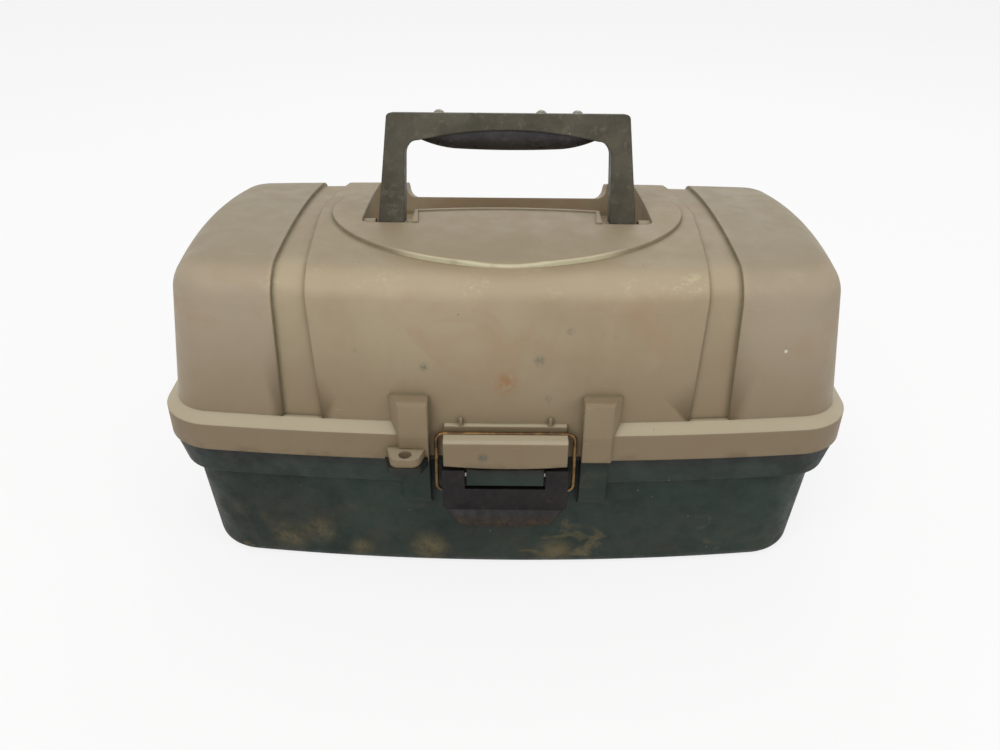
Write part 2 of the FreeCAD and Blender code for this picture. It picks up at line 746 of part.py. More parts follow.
def latch_bail():
    y0, z0 = pivot_y + bail_pivot_back, pivot_z - bail_pivot_drop
    y1, z1 = -half_y + bail_bar_back, rim_z + groove_floor + wire_r + part_gap / 2
    length = math.hypot(y1 - y0, z1 - z0)

    def spot(x, s):
        return V(x, y0 + (y1 - y0) * s / length, z0 + (z1 - z0) * s / length)

    bend = bail_bend
    cut = bend * (1 - math.cos(math.radians(45)))
    x = bail_half_x
    edges = [Part.LineSegment(spot(-bail_foot_x, 0), spot(-x + bend, 0)),
             Part.Arc(spot(-x + bend, 0), spot(-x + cut, cut), spot(-x, bend)),
             Part.LineSegment(spot(-x, bend), spot(-x, length - bend)),
             Part.Arc(spot(-x, length - bend), spot(-x + cut, length - cut), spot(-x + bend, length)),
             Part.LineSegment(spot(-x + bend, length), spot(x - bend, length)),
             Part.Arc(spot(x - bend, length), spot(x - cut, length - cut), spot(x, length - bend)),
             Part.LineSegment(spot(x, length - bend), spot(x, bend)),
             Part.Arc(spot(x, bend), spot(x - cut, cut), spot(x - bend, 0)),
             Part.LineSegment(spot(x - bend, 0), spot(bail_foot_x, 0))]
    path = Part.Wire([e.toShape() for e in edges])
    ring = Part.Wire(Part.Circle(spot(-bail_foot_x, 0), V(1, 0, 0), wire_r).toShape())
    return path.makePipeShell([ring], True, False)


def upright(shape):
    # the handle is drawn upright about its axis, then leans back as it stands
    shape.rotate(V(0, 0, 0), V(1, 0, 0), -handle_lean)
    shape.translate(V(0, handle_y, handle_z))
    return shape


def handle_outline():
    foot = -handle_depth / 2
    top, r = handle_top, outer_corner
    out_top = handle_half_top
    in_foot = handle_half_foot - leg_width
    spring = top - bar_end
    in_top = handle_inner_top
    c = inner_corner
    bend = r * (1 - math.cos(math.radians(45)))
    turn = c * (1 - math.cos(math.radians(45)))
    return [(-handle_half_foot, foot), (-out_top, top - r), ((-out_top + bend, top - bend), (-out_top + r, top)),
            (out_top - r, top), ((out_top - bend, top - bend), (out_top, top - r)), (handle_half_foot, foot),
            (in_foot, foot), (in_top, spring - c), ((in_top - turn, spring - turn), (in_top - c, spring)),
            ((0, top - bar_centre), (-in_top + c, spring)),
            ((-in_top + turn, spring - turn), (-in_top, spring - c)), (-in_foot, foot)]


def handle_solid():
    half = handle_depth / 2
    frame = prism_y(handle_outline(), -half, half)
    rounded = prism_x([(half, 0), (half, handle_top), (-half, handle_top), (-half, 0),
                       ((0, -half), (half, 0))], -handle_half_foot, handle_half_foot)
    return frame.common(rounded)


def grip_solid():
    half, flat = grip_half_x, grip_flat_x
    mid = (half + flat) / 2
    swell = (grip_flat_r + grip_end_r) / 2 + wall / 3
    profile = Part.Wire([
        Part.LineSegment(V(-half, 0, 0), V(-half, 0, grip_end_r)).toShape(),
        Part.Arc(V(-half, 0, grip_end_r), V(-mid, 0, swell), V(-flat, 0, grip_flat_r)).toShape(),
        Part.Arc(V(-flat, 0, grip_flat_r), V(0, 0, grip_r), V(flat, 0, grip_flat_r)).toShape(),
        Part.Arc(V(flat, 0, grip_flat_r), V(mid, 0, swell), V(half, 0, grip_end_r)).toShape(),
        Part.LineSegment(V(half, 0, grip_end_r), V(half, 0, 0)).toShape(),
        Part.LineSegment(V(half, 0, 0), V(-half, 0, 0)).toShape()])
    grip = Part.Face(profile).revolve(V(0, 0, 0), V(1, 0, 0), 360)
    grip.translate(V(0, grip_back, handle_top - grip_drop))
    return grip


def screw(x):
    top = handle_top - (screw_sink if x == sunk_screw else 0)
    shank = rod_z(screw_r, top - screw_length, top + screw_head / 4, x, 0)
    cap = screw_head_r
    ball = (cap ** 2 + screw_head ** 2) / (2 * screw_head)
    dome = Part.makeSphere(ball, V(x, 0, top + screw_head - ball))
    dome = dome.common(block((x - ball, x + ball), (-ball, ball), (top, top + ball)))
    slot = block((x - cap, x + cap), (-screw_r / 3, screw_r / 3),
                 (top + screw_head - screw_r / 2, top + screw_head + overrun))
    return one_solid(dome.cut(slot).fuse(shank))


def build_handle():
    frame = handle_solid()
    grip = grip_solid().cut(frame)
    grip = max(grip.Solids, key=lambda s: s.Volume)
    holes = []
    for x in screw_places:
        top = handle_top + overrun
        holes.append(rod_z(screw_r + screw_clearance, handle_top - screw_length - screw_sink - overrun,
                           top, x, 0))
        if x == sunk_screw:
            holes.append(rod_z(screw_head_r + part_gap, handle_top - screw_sink, top, x, 0))
    for hole in holes:
        frame = frame.cut(hole)
        grip = grip.cut(hole)
    for side in (-1, 1):
        ends = sorted((side * (handle_half_foot - leg_width - overrun), side * (handle_half_foot + overrun)))
        frame = frame.cut(rod_x(handle_pin_r, ends[0], ends[1], 0, 0))
    save("handle_frame", upright(one_solid(frame)))
    save("handle_grip", upright(one_solid(grip)))
    save("handle_screws", *[upright(screw(x)) for x in screw_places])
    inner = handle_half_foot - leg_width - part_gap
    pin = rod_x(handle_pin_r, inner - handle_pin_head, pocket_half_x + wall / 2, handle_y, handle_z)
    pin = pin.fuse(rod_x(handle_pin_head_r, inner - handle_pin_head, inner, handle_y, handle_z))
    save("handle_pin_right", one_solid(pin))
    save("handle_pin_left", one_solid(mirrored(pin)))


def tray_pivots(i):
    back = arm_reaches[i] * math.cos(arm_rest_angle)
    rise = arm_reaches[i] * math.sin(arm_rest_angle)
    return [(y - back, arm_pivot_z + rise) for y in (rear_arm_y, front_arm_y)]


def tray_plan(grow, low, high):
    plan = block((-tray_half_x + grow, tray_half_x - grow), (tray_front_y + grow, tray_back_y - grow),
                 (low, high))
    corners = [e for e in plan.Edges if abs(e.Vertexes[0].Z - e.Vertexes[-1].Z) > wall]
    return plan.makeFillet(tray_corner - grow, corners)


def build_tray(i):
    low = tray_bottoms[i]
    high = low + tray_height
    tray = tray_plan(0, low, high).cut(tray_plan(tray_wall, low + tray_wall, high + overrun))
    row = block((-tray_half_x + tray_wall / 2, tray_half_x - tray_wall / 2),
                (tray_row_y - tray_wall / 2, tray_row_y + tray_wall / 2), (low + tray_wall / 2, high - divider_drop))
    tray = tray.fuse(row)
    pivots = tray_pivots(i)
    spots = list(pivots)
    if i == len(arm_reaches) - 1:
        spots.append(lid_pivot)
    for y, z in spots:
        plate = block((tray_half_x - tray_wall / 2, tray_x), (y - ear_margin, y + ear_margin),
                      (max(z - ear_margin, low), min(z + ear_margin, high)))
        tray = tray.fuse(both_sides(plate))
        start = tray_half_x - tray_wall - overrun
        tray = tray.cut(both_sides(rod_x(rivet_r + rivet_play, start, tray_x + overrun, y, z)))
        tray = tray.cut(both_sides(rod_x(rivet_head_r + rivet_play, start, rivet_seat, y, z)))
    return one_solid(tray)


def build_dividers(i):
    low = tray_bottoms[i] + tray_wall + divider_gap
    high = tray_bottoms[i] + tray_height - divider_drop
    rows = ((tray_front_y + tray_wall, tray_row_y - tray_wall / 2),
            (tray_row_y + tray_wall / 2, tray_back_y - tray_wall))
    solids = []
    for x in (-tray_half_x * divider_x_share, 0, tray_half_x * divider_x_share):
        for front, back in rows:
            solids.append(block((x - divider_thickness / 2, x + divider_thickness / 2),
                                (front + divider_gap, back - divider_gap), (low, high)))
    return solids


def rivet(x_in, x_out, y, z, collar):
    # a shank with a head inside and one outside, and a collar that keeps the arm off the tray
    body = rod_x(rivet_r, x_in, x_out, y, z)
    body = body.fuse(rod_x(rivet_head_r, x_in, x_in + rivet_head, y, z))
    if collar:
        body = body.fuse(rod_x(rivet_head_r, tray_x + rivet_play, arm_x - rivet_play, y, z))
    return body


def tray_rivets(i):
    # the shank turns in the tray's ear, with its inner head sunk in the end wall
    solids = []
    for y, z in tray_pivots(i):
        one = rivet(rivet_seat - rivet_play - rivet_head, arm_outer_x + rivet_play, y, z, True)
        one = one.fuse(rod_x(rivet_head_r, arm_outer_x + rivet_play,
                             arm_outer_x + rivet_play + rivet_head / 2, y, z))
        solids += [one_solid(one), one_solid(mirrored(one))]
    return solids


def base_rivets():
    solids = []
    for y in (rear_arm_y, front_arm_y):
        one = rivet(arm_x - rivet_play - rivet_head, post_x + arm_width, y, arm_pivot_z, False)
        one = one.fuse(rod_x(rivet_head_r, arm_outer_x + rivet_play, post_x, y, arm_pivot_z))
        solids += [one_solid(one), one_solid(mirrored(one))]
    return solids


def lid_tray_pins():
    y, z = lid_pivot
    one = rivet(rivet_seat - rivet_play - rivet_head, post_x + arm_width, y, z, False)
    one = one.fuse(rod_x(rivet_head_r, tray_x + rivet_play, post_x + rivet_head, y, z))
    return [one_solid(one), one_solid(mirrored(one))]


def arm(pivot_y_place):
    # a flat steel strip with round ends, drilled at its pivot and at each tray
    r, reach = arm_width / 2, arm_reaches[-1]
    strip = prism_x([(-r, 0), (-r, reach), ((0, reach + r), (r, reach)), (r, 0), ((0, -r), (-r, 0))],
                    arm_x, arm_outer_x)
    for s in (0,) + arm_reaches:
        strip = strip.cut(rod_x(rivet_r + rivet_play, arm_x - overrun, arm_outer_x + overrun, 0, s))
    strip.rotate(V(0, 0, 0), V(1, 0, 0), 90 - math.degrees(arm_rest_angle))
    strip.translate(V(0, pivot_y_place, arm_pivot_z))
    return strip


def main():
    os.makedirs("parts", exist_ok=True)
    base, lid = build_base(), build_lid()
    save("base_shell", base)
    save("lid_shell", lid)
    save("base_padlock_ear", base_ear(base))
    save("lid_padlock_ear", lid_ear(lid))
    save("hinge_pin_right", hinge_pin())
    save("hinge_pin_left", mirrored(hinge_pin()))
    save("latch_pin", latch_pin())
    save("latch_lever", latch_lever())
    save("latch_bail", latch_bail())
    build_handle()
    for i, name in enumerate(("low", "middle", "top")):
        save("tray_" + name, build_tray(i))
        save("tray_" + name + "_dividers", *build_dividers(i))
        save("tray_" + name + "_rivets", *tray_rivets(i))
    save("arm_base_rivets", *base_rivets())
    save("lid_tray_pins", *lid_tray_pins())
    for name, y in (("rear", rear_arm_y), ("front", front_arm_y)):
        save(name + "_arm_right", arm(y))
        save(name + "_arm_left", mirrored(arm(y)))


main()
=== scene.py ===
import json
import math

import bpy
from mathutils import Euler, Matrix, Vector


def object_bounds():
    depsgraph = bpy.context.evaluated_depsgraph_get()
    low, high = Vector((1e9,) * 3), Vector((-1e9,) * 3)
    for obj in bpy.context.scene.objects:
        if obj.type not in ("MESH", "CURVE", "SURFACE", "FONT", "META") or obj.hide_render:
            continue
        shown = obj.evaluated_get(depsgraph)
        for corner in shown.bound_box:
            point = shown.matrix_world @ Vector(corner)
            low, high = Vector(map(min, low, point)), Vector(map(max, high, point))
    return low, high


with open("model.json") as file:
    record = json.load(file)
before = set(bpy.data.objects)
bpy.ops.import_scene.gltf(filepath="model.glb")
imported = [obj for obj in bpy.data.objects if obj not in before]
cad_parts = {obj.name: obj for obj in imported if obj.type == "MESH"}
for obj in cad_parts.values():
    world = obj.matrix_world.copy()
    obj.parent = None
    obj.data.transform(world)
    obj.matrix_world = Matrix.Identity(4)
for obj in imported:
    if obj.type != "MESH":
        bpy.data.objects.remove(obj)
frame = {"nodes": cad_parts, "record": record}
cad_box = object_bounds()

MM = 0.001
WHITE = (1, 1, 1, 1)

# Fades on the pieces, in millimetres: where each one starts and where it is full.
# X runs from the left end to the right, Y from the front to the back, Z up.
END_PANELS = (138, 146)         # away from the middle, to either side
FRONT_FACE = (-80, -102)        # Y
FRONT_DARKENING = (195, 118)    # Z
FLANGE_AND_LEDGE = (130, 124)   # Z
ROOF = (212, 219)               # Z
SHOULDER_FOOT = (200, 209)      # Z
SHOULDER_TOP = (219, 212)       # Z
SHOULDER_FRONT = (-60, -80)     # Y
OVAL_MIDDLE = (82, 50)          # away from the middle, to either side
OVAL_FRONT = (-60, -72)         # Y
FLANGE_FACE = (119, 116)        # Z
FLANGE_FOOT = (106, 100)        # Z
BASE_LOWER_HALF = (70, 8)       # Z
BASE_LEFT_HALF = (-60, -190)    # X
UNDER_THE_RIM = (88, 97)        # Z
LEVER_LIP = (63, 58)            # Z

# the raised oval around the handle: its half length and half width in millimetres,
# and fades across its edge, as shares of those
OVAL_HALVES = (118, 86)
# where the painted shade below the oval's front edge lies
SCOOP_SHADE_START, SCOOP_SHADE_END = (0.998, 1.012), (1.13, 1.03)
# where the painted highlight on the oval's front edge lies
OVAL_HIGHLIGHT_START, OVAL_HIGHLIGHT_END = (0.972, 0.985), (1.008, 0.998)

# marks seen on the photo's front: place along X, height and size in millimetres
PAINT_MARKS = (
    (38.0, 184.0, 2.6), (65.0, 181.0, 2.2), (58.0, 182.0, 1.6), (20.0, 165.0, 3.4),
    (26.0, 140.0, 2.6), (-92.0, 170.0, 2.4), (34.0, 196.0, 2.2), (110.0, 180.0, 1.8),
    (-50.0, 160.0, 2.2),
)
PALE_MARKS = ((150.0, 205.0, 2.0), (166.0, 204.0, 1.8), (62.0, 142.0, 1.6), (171.0, 168.0, 1.6))
MUD_MARKS = (
    (-150.0, 20.0, 17.0), (-128.0, 26.0, 13.0), (-165.0, 34.0, 9.0), (-52.0, 14.0, 16.0),
    (36.0, 12.0, 14.0), (-186.0, 40.0, 12.0), (-100.0, 12.0, 10.0),
)
PAINT_MARK_Y, PALE_MARK_Y, MUD_MARK_Y = -108, -98, -107
RUST_STAIN = (0, -107, 150)
KEEPER_MARK = (-14, -129, 108)

FLOOR_SIZE = 12.0
FLOOR_COLOUR = (0.80, 0.80, 0.79, 1)
FLOOR_ROUGHNESS = 0.9
FLOOR_WHITENED = 0.80           # share of plain white that the eye gets from the floor
WORLD_LIGHT, WORLD_SEEN = 0.62, 1.0

# name, place and width in metres, power in watts
LAMPS = (
    ("key", (-0.9, -1.6, 2.0), 1.6, 26),
    ("fill", (1.6, -0.9, 1.3), 1.8, 10),
    ("back", (0.2, 1.6, 1.8), 1.4, 8),
)
LAMP_AIM = (0, 0, 0.12)

CAMERA_PLACE = (-3.8, -534.5, 401.4)    # millimetres
CAMERA_TILT, CAMERA_ROLL = 30.0, 0.5    # degrees
SENSOR_WIDTH = 36.0
LENS_TO_SENSOR = 0.808


def rgb(r, g, b):
    """A colour written as it looks on a screen, from 0 to 255, as the shader's linear colour."""
    def linear(c):
        c /= 255
        return c / 12.92 if c <= 0.04045 else ((c + 0.055) / 1.055) ** 2.4
    return (linear(r), linear(g), linear(b), 1.0)


class Surface:
    """One material: its nodes, and the colour that is built up on it layer by layer."""

    def __init__(self, name, metallic=0.0, specular=0.5):
        self.material = bpy.data.materials.new(name)
        self.material.use_nodes = True
        self.nodes = self.material.node_tree.nodes
        self.links = self.material.node_tree.links
        self.shader = self.nodes["Principled BSDF"]
        self.shader.inputs["Metallic"].default_value = metallic
        self.shader.inputs["Specular IOR Level"].default_value = specular
        self.place = self.add("ShaderNodeTexCoord").outputs["Object"]
        self.colour = None

    def add(self, kind, **settings):
        node = self.nodes.new(kind)
        for key, value in settings.items():
            setattr(node, key, value)
        return node

    def feed(self, socket, value):
        """Links the socket to another socket, or sets it to a constant."""
        if isinstance(value, bpy.types.NodeSocket):
            self.links.new(value, socket)
        else:
            socket.default_value = value

    # numbers

    def maths(self, operation, *values):
        node = self.add("ShaderNodeMath", operation=operation)
        for socket, value in zip(node.inputs, values):
            self.feed(socket, value)
        return node.outputs[0]

    def times(self, *values):
        result = values[0]
        for value in values[1:]:
            result = self.maths("MULTIPLY", result, value)
        return result

    def between(self, value, low, high, start=0.0, end=1.0):
        """value from low to high, smoothly turned into start to end."""
        node = self.add("ShaderNodeMapRange", interpolation_type="SMOOTHSTEP", clamp=True)
        self.feed(node.inputs["Value"], value)
        ends = {"From Min": low, "From Max": high, "To Min": start, "To Max": end}
        for key, number in ends.items():
            node.inputs[key].default_value = number
        return node.outputs["Result"]

    def fade(self, value, span, start=0.0, end=1.0):
        """The same for a place and a span that is given in millimetres."""
        low, high = span
        return self.between(value, low * MM, high * MM, start, end)

    # places

    def channel(self, source, axis):
        node = self.add("ShaderNodeSeparateXYZ")
        self.links.new(source, node.inputs[0])
        return node.outputs[axis]

    def along(self, axis):
        """The place along X, Y or Z, in the piece's own frame."""
        return self.channel(self.place, axis)

    def stretched(self, x, y, z):
        node = self.add("ShaderNodeMapping")
        self.feed(node.inputs["Vector"], self.place)
        node.inputs["Scale"].default_value = (x, y, z)
        return node.outputs["Vector"]

    def upward(self):
        """1 where the surface faces up, -1 where it faces down, in the piece's own frame."""
        return self.channel(self.add("ShaderNodeTexCoord").outputs["Normal"], "Z")

    def nooks(self, reach):
        """1 in corners and grooves narrower than this many millimetres, 0 in the open."""
        node = self.add("ShaderNodeAmbientOcclusion", samples=6)
        node.inputs["Distance"].default_value = reach * MM
        return self.between(node.outputs["AO"], 0.95, 0.55)

    def near(self, spot, size, edge):
        """1 around a spot, given in millimetres, falling to 0 over its soft edge."""
        node = self.add("ShaderNodeVectorMath", operation="DISTANCE")
        self.feed(node.inputs[0], self.place)
        node.inputs[1].default_value = tuple(c * MM for c in spot)
        return self.fade(node.outputs["Value"], (size, size - edge))

    def ellipse(self, half_x, half_y):
        """Distance from the middle as a share of an upright ellipse's edge, seen from above."""
        node = self.add("ShaderNodeVectorMath", operation="LENGTH")
        self.feed(node.inputs[0], self.stretched(1 / (half_x * MM), 1 / (half_y * MM), 0))
        return node.outputs["Value"]

    # patterns

    def noise(self, size, detail=3.0, rough=0.55, at=None, warp=0.0):
        """Smooth noise whose lumps are about this many millimetres across."""
        node = self.add("ShaderNodeTexNoise")
        self.feed(node.inputs["Vector"], self.place if at is None else at)
        node.inputs["Scale"].default_value = 1 / (size * MM)
        node.inputs["Detail"].default_value = detail
        node.inputs["Roughness"].default_value = rough
        node.inputs["Distortion"].default_value = warp
        return node.outputs["Fac"]

    def flecks(self, spacing, edge, rarity):
        """Specks about this many millimetres apart, and a random colour for each.

        edge is where a speck fades in, as shares of the spacing; rarity is the part of the
        random numbers that gets a speck.
        """
        node = self.add("ShaderNodeTexVoronoi")
        self.feed(node.inputs["Vector"], self.place)
        node.inputs["Scale"].default_value = 1 / (spacing * MM)
        tint = node.outputs["Color"]
        speck = self.times(self.between(node.outputs["Distance"], *edge),
                           self.between(self.channel(tint, "X"), *rarity))
        return speck, tint

    def uneven(self, size, low, high, detail=4, rough=0.55):
        """A roughness that goes from low to high in patches of this many millimetres."""
        return self.between(self.noise(size, detail, rough), 0.3, 0.7, low, high)

    # colour

    def blend(self, share, a, b):
        node = self.add("ShaderNodeMix", data_type="RGBA")
        self.feed(node.inputs["Factor"], share)
        self.feed(node.inputs[6], a)
        self.feed(node.inputs[7], b)
        return node.outputs[2]

    def ground(self, first, second, pattern, low, high):
        """The bottom layer: two shades, mixed by a pattern from low to high."""
        self.colour = self.blend(self.between(pattern, low, high), first, second)

    def tint(self, shade, *shares):
        """Lays a shade over the colour, as strong as the product of the shares."""
        self.colour = self.blend(self.times(*shares), self.colour, shade)

    def finish(self, roughness, bumps, soften=0.0):
        """bumps are (height, depth in millimetres); soften rounds the shading of edges."""
        self.feed(self.shader.inputs["Base Color"], self.colour)
        self.feed(self.shader.inputs["Roughness"], roughness)
        normal = None
        if soften:
            rounded = self.add("ShaderNodeBevel", samples=4)
            rounded.inputs["Radius"].default_value = soften * MM
            normal = rounded.outputs["Normal"]
        for height, depth in bumps:
            bump = self.add("ShaderNodeBump")
            bump.inputs["Distance"].default_value = depth * MM
            self.feed(bump.inputs["Height"], height)
            if normal is not None:
                self.feed(bump.inputs["Normal"], normal)
            normal = bump.outputs["Normal"]
        self.feed(self.shader.inputs["Normal"], normal)
        return self.material


def lid_marks(s, front):
    """Flecks, paint marks, scratches and a rust stain, laid over the lid's colour."""
    # small dark and blue-green flecks, in loose groups
    fleck, random_tint = s.flecks(5.5, (0.17, 0.05), (0.60, 0.64))
    group = s.between(s.noise(30, 3, warp=0.6), 0.56, 0.68)
    fleck_shade = s.blend(s.channel(random_tint, "Y"), rgb(76, 78, 50), rgb(92, 104, 104))
    s.tint(fleck_shade, fleck, group, 0.75)
    for x, z, size in PAINT_MARKS:
        spot = s.near((x, PAINT_MARK_Y, z), size + 2.0, size + 1.5)
        s.tint(rgb(80, 86, 70), spot, s.between(s.noise(0.9, 5, 0.8), 0.44, 0.56), front, 0.85)
    for x, z, size in PALE_MARKS:
        s.tint(rgb(206, 202, 186), s.near((x, PALE_MARK_Y, z), size, 1.0), front, 0.9)
    # scratches lie mostly level
    scratch = s.between(s.noise(1.1, 2, 0.5, at=s.stretched(0.08, 1, 1), warp=0.3), 0.71, 0.77)
    s.tint(rgb(174, 163, 136), scratch, s.between(s.noise(26, 2), 0.52, 0.62), 0.4)
    # one rusty stain over the keeper and a dark paint mark on it
    s.tint(rgb(138, 98, 62),
           s.near(RUST_STAIN, 11, 9), s.between(s.noise(5, 4), 0.3, 0.6), 0.8)
    s.tint(rgb(76, 80, 70),
           s.near(KEEPER_MARK, 4.6, 3.6), s.between(s.noise(1.1, 5, 0.8), 0.36, 0.58), 0.85)


def tan_plastic():
    """The lid: sun-faded tan moulding, stained, with grime and painted shade in its grooves,
    painted highlights and paint marks.
    """
    s = Surface("lid_tan_plastic", specular=0.3)
    depth, height = s.along("Y"), s.along("Z")
    off_middle = s.maths("ABSOLUTE", s.along("X"))
    front = s.fade(depth, FRONT_FACE)
    s.ground(rgb(147, 131, 106), rgb(157, 142, 117), s.noise(95, 5, 0.6, warp=0.4), 0.36, 0.66)
    # the end panels are a little greyer and pinker than the middle
    panel = s.fade(off_middle, END_PANELS)
    s.tint(rgb(150, 137, 120), panel, 0.6)
    # pinkish brown stains
    s.tint(rgb(150, 124, 97), s.between(s.noise(42, 5, 0.62, warp=0.8), 0.50, 0.70), 0.5)
    # the front face is darker towards the flange
    s.tint(rgb(121, 104, 80), s.fade(height, FRONT_DARKENING), front, 0.72)
    # a painted highlight makes the upper faces of the flange and of the ledge behind it paler
    s.tint(rgb(178, 167, 142),
           s.between(s.upward(), 0.35, 0.9), s.fade(height, FLANGE_AND_LEDGE), 0.8)
    # the roof is greyer, most of all on the end panels
    s.tint(rgb(140, 129, 107), s.fade(height, ROOF), s.between(panel, 0.0, 1.0, 0.5, 0.85))
    # a painted highlight makes the front shoulder paler; it is also scuffed in patches
    shoulder = s.times(s.fade(height, SHOULDER_FOOT), s.fade(height, SHOULDER_TOP),
                       s.fade(depth, SHOULDER_FRONT), s.between(panel, 0.0, 1.0, 1.0, 0.35))
    s.tint(rgb(175, 160, 132), shoulder, 0.6)
    scuffed = s.between(s.noise(2.6, 6, 0.85, at=s.stretched(0.6, 1, 1)), 0.46, 0.62)
    patches = s.between(s.noise(30, 3), 0.50, 0.64)
    s.tint(rgb(188, 180, 146), scuffed, shoulder, patches, 0.55)
    # painted shade: a brown crescent below the oval's front edge, standing in for the shade of a
    # shallow scoop
    rim = s.ellipse(*OVAL_HALVES)
    middle = s.times(s.fade(off_middle, OVAL_MIDDLE), s.fade(depth, OVAL_FRONT))
    s.tint(rgb(138, 119, 91),
           s.between(rim, *SCOOP_SHADE_START), s.between(rim, *SCOOP_SHADE_END), middle, 0.5)
    # grime and painted shade in grooves and corners
    s.tint(rgb(98, 91, 62), s.nooks(4), s.between(s.noise(9, 4), 0.25, 0.6, 0.6, 1.0), 0.66)
    # a painted highlight along the oval's front edge, broken in patches
    s.tint(rgb(200, 192, 160),
           s.between(rim, *OVAL_HIGHLIGHT_START), s.between(rim, *OVAL_HIGHLIGHT_END), middle,
           s.between(s.noise(14, 4), 0.25, 0.5, 0.5, 1.0), 0.8)
    # the flange's face is darker in front, with dirt along its foot
    s.tint(rgb(114, 98, 76), s.fade(height, FLANGE_FACE), front, 0.45)
    s.tint(rgb(98, 84, 62),
           s.fade(height, FLANGE_FOOT), s.between(s.noise(20, 4), 0.45, 0.62), 0.5)
    lid_marks(s, front)
    return s.finish(s.uneven(16, 0.46, 0.66, 5, 0.65), soften=1.6,
                    bumps=((s.noise(0.9, 4, 0.6), 0.10), (s.noise(14, 2), 0.25)))


def green_plastic():
    """The base: dark green moulding with dried mud smeared on its lower half."""
    s = Surface("base_green_plastic", specular=0.3)
    height = s.along("Z")
    s.ground(rgb(22, 33, 27), rgb(32, 45, 37), s.noise(60, 4, 0.6), 0.35, 0.65)
    # the lower and left parts carry a brown film
    low = s.fade(height, BASE_LOWER_HALF, 0.2, 1.0)
    left = s.fade(s.along("X"), BASE_LEFT_HALF, 0.45, 1.0)
    film = s.between(s.noise(33, 5, 0.7, warp=0.7), 0.42, 0.66)
    s.tint(rgb(58, 50, 38), film, low, left, 0.75)
    # painted shade: it is darkest just under the rim
    under = s.fade(height, UNDER_THE_RIM)
    s.tint(rgb(20, 22, 20), under, 0.7)
    s.tint(rgb(42, 38, 34), under, film, 0.5)
    # dried mud: broad soft smears with broken edges
    wide = s.stretched(0.6, 1, 1.1)
    smear = s.between(s.noise(19, 5, 0.62, at=wide, warp=0.6), 0.57, 0.70)
    s.tint(rgb(100, 88, 62), smear, s.between(s.noise(48, 2), 0.48, 0.60), low, 0.75)
    for x, z, size in MUD_MARKS:
        s.tint(rgb(92, 82, 56),
               s.near((x, MUD_MARK_Y, z), 1.25 * size, 1.2 * size),
               s.between(s.noise(11, 6, 0.7), 0.32, 0.62, 0.15, 1.0), 0.95)
    # dust and painted light on the faces that look up
    s.tint(rgb(90, 85, 68),
           s.between(s.upward(), 0.4, 0.95), s.between(s.noise(12, 4), 0.35, 0.7), 0.5)
    fleck, _ = s.flecks(9, (0.09, 0.03), (0.80, 0.84))
    s.tint(rgb(112, 112, 104), fleck, 0.55)
    # painted shade in corners and grooves
    s.tint(rgb(22, 26, 22), s.nooks(5), 0.5)
    return s.finish(s.uneven(14, 0.46, 0.72, 5, 0.7), soften=1.4,
                    bumps=((s.noise(0.9, 4, 0.6), 0.08), (s.noise(15, 2), 0.2)))


def handle_plastic():
    """The handle frame: dull olive-brown moulding, paler where hands have rubbed it."""
    s = Surface("handle_olive_plastic", specular=0.35)
    s.ground(rgb(60, 56, 44), rgb(80, 75, 61), s.noise(25, 5, 0.65), 0.35, 0.68)
    s.tint(rgb(112, 106, 90), s.between(s.noise(7, 5, 0.7), 0.52, 0.68), 0.35)
    fleck, _ = s.flecks(8, (0.1, 0.04), (0.75, 0.8))
    s.tint(rgb(150, 144, 124), fleck, 0.6)
    # painted shade in corners and grooves
    s.tint(rgb(44, 40, 32), s.nooks(3), 0.5)
    return s.finish(s.uneven(10, 0.46, 0.68), soften=1.6,
                    bumps=((s.noise(0.7, 4, 0.6), 0.07), (s.noise(6, 3), 0.1)))


def grip_rubber():
    """The grip: nearly black, lightly ribbed along its length by the mould."""
    s = Surface("grip_black_rubber", specular=0.4)
    s.ground(rgb(33, 30, 31), rgb(50, 46, 46), s.noise(12, 5, 0.7), 0.4, 0.7)
    s.tint(rgb(74, 69, 62), s.between(s.noise(3, 4), 0.55, 0.7), 0.3)
    rib = s.noise(2.0, 2, 0.5, at=s.stretched(0.06, 1, 1))
    return s.finish(s.uneven(8, 0.38, 0.6), soften=0.8,
                    bumps=((rib, 0.12), (s.noise(0.6, 3), 0.05)))


def latch_paint():
    """The lever: dark brown paint, dusty, chipped and rusty along its lower lip."""
    s = Surface("latch_brown_paint", specular=0.25)
    s.ground(rgb(12, 9, 9), rgb(24, 19, 18), s.noise(14, 5, 0.65), 0.35, 0.65)
    s.tint(rgb(52, 45, 38), s.between(s.noise(4.5, 5, 0.7), 0.54, 0.7), 0.35)
    rust = s.times(s.fade(s.along("Z"), LEVER_LIP),
                   s.between(s.noise(3.2, 5, 0.75), 0.40, 0.56))
    s.tint(s.blend(s.noise(2, 3), rgb(66, 50, 32), rgb(48, 42, 27)), rust, 0.7)
    rough = s.maths("ADD", s.uneven(5, 0.36, 0.56), s.times(rust, 0.25))
    return s.finish(rough, soften=1.0, bumps=((s.noise(1.2, 4), 0.08), (rust, 0.12)))


def wire_brass():
    """The bail: brassy plating gone brown, with rust coming through in spots."""
    s = Surface("wire_tarnished_brass", metallic=0.75)
    s.ground(rgb(132, 102, 62), rgb(88, 66, 44), s.noise(9, 5, 0.7), 0.36, 0.62)
    rust = s.between(s.noise(3.2, 5, 0.75), 0.54, 0.66)
    s.tint(rgb(92, 56, 34), rust, 0.85)
    rough = s.between(rust, 0.0, 1.0, 0.34, 0.75)
    return s.finish(rough, bumps=((s.noise(1.0, 4), 0.06),))


